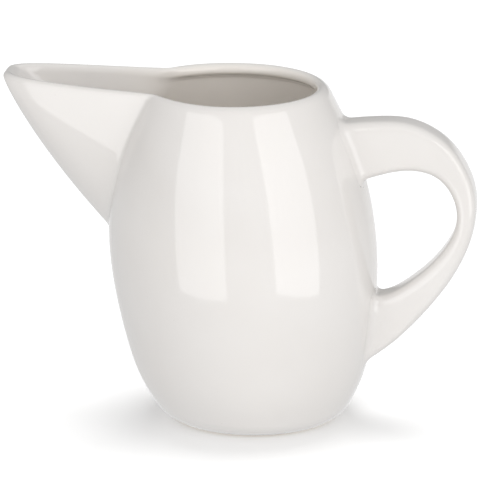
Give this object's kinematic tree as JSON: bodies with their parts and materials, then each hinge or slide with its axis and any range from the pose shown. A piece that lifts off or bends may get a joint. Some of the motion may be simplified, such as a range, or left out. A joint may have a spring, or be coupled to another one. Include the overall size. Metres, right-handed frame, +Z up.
{
  "type": "ceramic pitcher",
  "caption": "Glazed white ceramic pitcher with an egg-shaped body, a long scoop spout, a deep strap handle and a bare foot ring.",
  "frame": {"origin": "on the floor, under the middle of the whole length from spout tip to handle", "axes": "+Z up, +X towards the handle, -X towards the spout tip, +Y across the pitcher"},
  "size_m": [0.2108, 0.1194, 0.1558],
  "materials": {
    "white_glaze": "gloss",
    "bare_clay": "matte"
  },
  "bodies": {
    "root": {"body": "white_glaze", "foot_ring": "bare_clay", "spout": "white_glaze", "spout_seam": "white_glaze", "handle": "white_glaze", "handle_upper_seam": "white_glaze", "handle_lower_seam": "white_glaze"}
  },
  "joints": []
}
